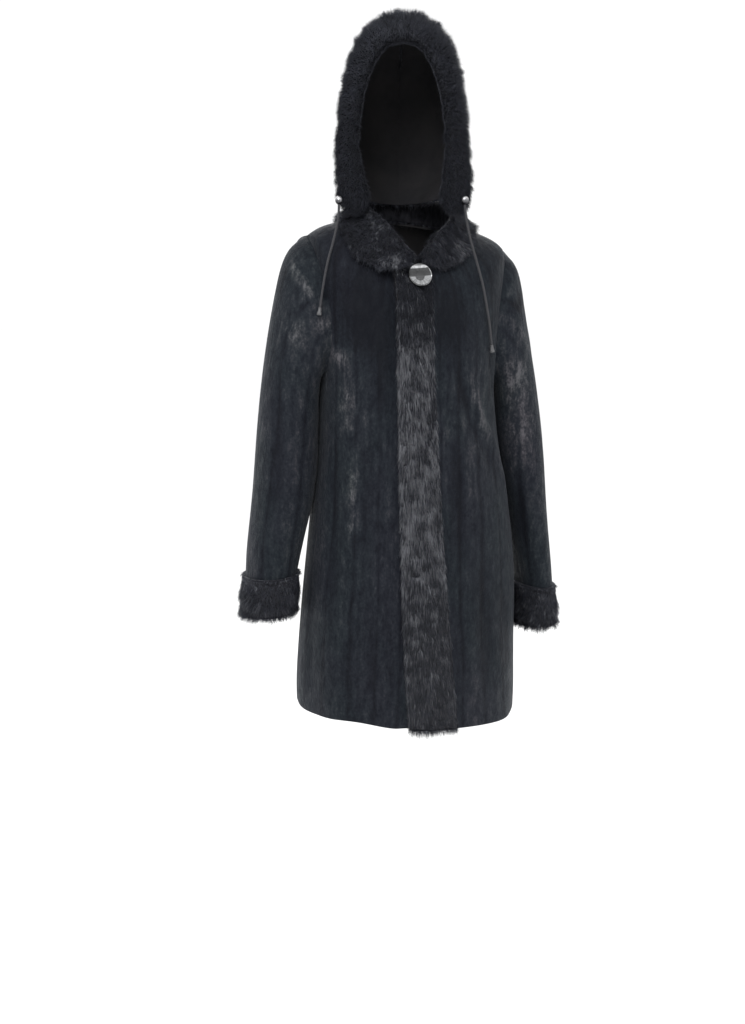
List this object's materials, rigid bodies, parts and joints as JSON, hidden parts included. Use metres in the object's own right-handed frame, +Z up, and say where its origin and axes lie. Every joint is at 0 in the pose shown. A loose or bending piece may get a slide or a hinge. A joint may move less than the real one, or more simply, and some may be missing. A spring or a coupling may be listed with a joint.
{
  "type": "mink coat",
  "caption": "Hooded sheared-fur coat in its worn, hollow shape, with a long-haired front band, collar, turn-back cuffs and hood, a metal button and beaded drawcords.",
  "frame": {"origin": "midway between the two shoulder tips, where the wearer's shoulders carry the coat", "axes": "+Z up, -Y towards the coat's front, +X towards the wearer's left"},
  "size_m": [0.6284, 0.3173, 1.2088],
  "materials": {
    "sheared_fur": "sheared and dyed mink, velvet pile with a cool sheen",
    "long_fur": "natural long-haired mink, glossy guard hair over dense underfur",
    "polished_metal": "polished, dished face in a dark rim",
    "satin_silver": "satin",
    "grey_cord": "braided cord",
    "cord_tip": "satin bell"
  },
  "bodies": {
    "root": {"front_right": "sheared_fur", "front_left": "sheared_fur", "front_band": "long_fur", "back": "sheared_fur", "sleeve_left": "sheared_fur", "sleeve_right": "sheared_fur", "cuff_left": "long_fur", "cuff_right": "long_fur", "collar": "long_fur", "hood_left": "long_fur", "hood_right": "long_fur", "hood_rim": "long_fur", "button": "polished_metal", "bead_left": "satin_silver", "bead_right": "satin_silver", "drawcord_left": "grey_cord", "drawcord_right": "grey_cord", "cord_tip_left": "cord_tip", "cord_tip_right": "cord_tip"}
  },
  "joints": []
}
